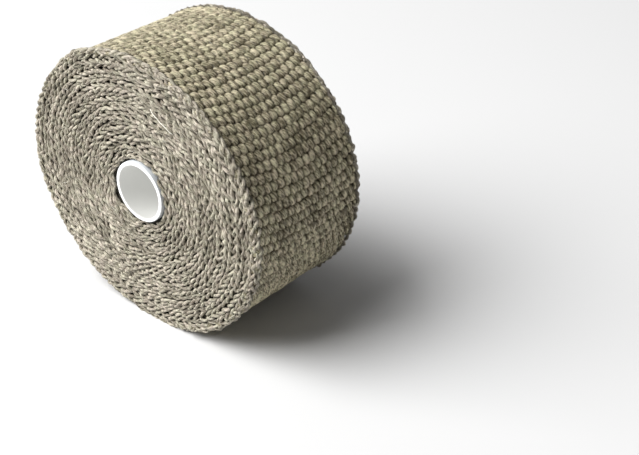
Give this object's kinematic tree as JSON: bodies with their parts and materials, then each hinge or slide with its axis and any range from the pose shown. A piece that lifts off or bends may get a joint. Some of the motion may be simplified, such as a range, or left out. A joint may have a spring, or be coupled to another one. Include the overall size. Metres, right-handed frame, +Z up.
{
  "type": "exhaust heat wrap roll",
  "caption": "Roll of woven heat-insulating exhaust wrap tape wound on a short plastic core tube, lying on its round side, with an open bore.",
  "frame": {"origin": "on the ground, under the middle of the roll that lies on its round side", "axes": "+Y along the roll's axis, +Z up, the end in the picture faces -Y"},
  "size_m": [0.1034, 0.0516, 0.0962],
  "materials": {
    "woven_wrap": "coarse woven mineral fibre, matt with faint sheen on the filaments",
    "core_plastic": "white satin"
  },
  "bodies": {
    "root": {"wrap_roll": "woven_wrap", "core_tube": "core_plastic"}
  },
  "joints": []
}
